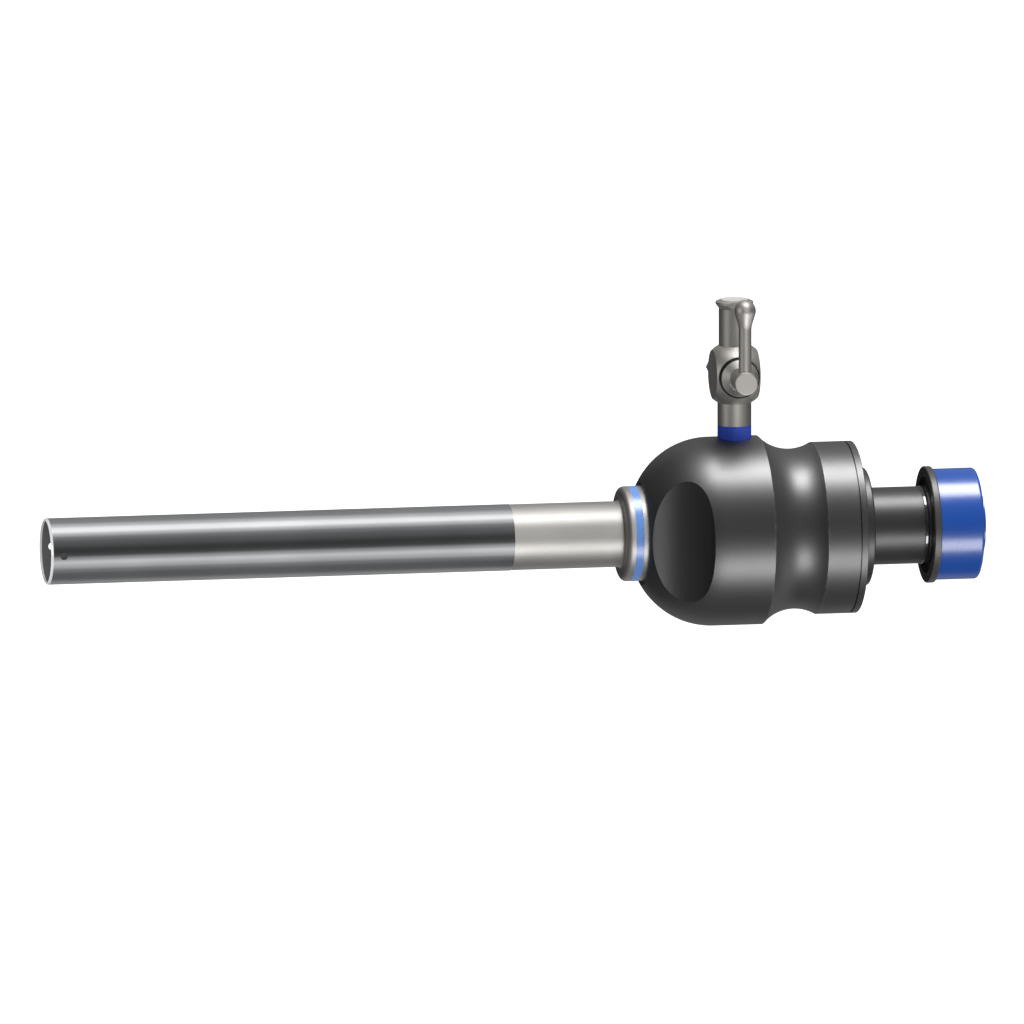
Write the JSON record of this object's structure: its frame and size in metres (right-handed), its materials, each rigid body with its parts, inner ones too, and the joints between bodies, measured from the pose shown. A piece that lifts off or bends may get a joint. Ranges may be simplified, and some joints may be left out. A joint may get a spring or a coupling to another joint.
{
  "type": "laparoscopic trocar cannula",
  "caption": "Reusable laparoscopic cannula: steel tube, black flap valve housing, luer stopcock with lever and blue silicone seal cap.",
  "frame": {"origin": "centre of the cannula's mouth", "axes": "+X along the cannula towards the seal cap, +Z towards the stopcock's luer port, lever on the -Y side"},
  "size_m": [0.1629, 0.0324, 0.0577],
  "materials": {
    "polished_steel": "polished",
    "satin_steel": "satin",
    "light_blue_ring": "gloss",
    "royal_blue_ring": "gloss",
    "black_housing": "satin",
    "gloss_black": "gloss",
    "blue_silicone": "satin",
    "black_rubber": "matte",
    "clear_silicone": "satin",
    "plated_magnet": "polished"
  },
  "bodies": {
    "housing": {"cannula_tube": "polished_steel", "cannula_hub": "satin_steel", "hub_colour_ring": "light_blue_ring", "hub_oring": "black_rubber", "valve_housing": "black_housing", "valve_seat": "satin_steel", "ring_magnet": "plated_magnet", "seat_oring": "black_rubber", "hinge_pin": "satin_steel", "rear_cover": "black_housing", "cover_oring": "black_rubber", "guide_tube": "black_housing", "guide_oring": "black_rubber", "neck_bead": "gloss_black", "neck_nut": "black_housing", "neck_oring": "black_rubber", "stopcock_body": "satin_steel", "stem_oring": "black_rubber", "stopcock_base_ring": "royal_blue_ring"},
    "flap": {"valve_flap": "satin_steel", "flap_pad": "clear_silicone", "pad_rivet": "satin_steel"},
    "plug": {"stopcock_plug": "satin_steel", "lever": "satin_steel", "plug_washer": "satin_steel", "plug_nut": "satin_steel"},
    "cap": {"cap_holder": "black_housing", "lip_seal": "clear_silicone", "seal_cap": "blue_silicone"}
  },
  "joints": [
    {"name": "lever_turn", "type": "hinge", "parent": "housing", "child": "plug", "pos_m": [0.12006, 0, 0.02715], "axis": [0, 1, 0], "range_deg": [-90, 90]},
    {"name": "flap_swing", "type": "hinge", "parent": "housing", "child": "flap", "pos_m": [0.1249, 0, -0.009], "axis": [0, -1, 0], "range_deg": [0, 85], "stiffness_Nm_per_rad": 0.0008, "springref_deg": -28.65},
    {"name": "cap_pull", "type": "slide", "parent": "housing", "child": "cap", "axis": [1, 0, 0], "range_m": [0, 0.012]}
  ]
}
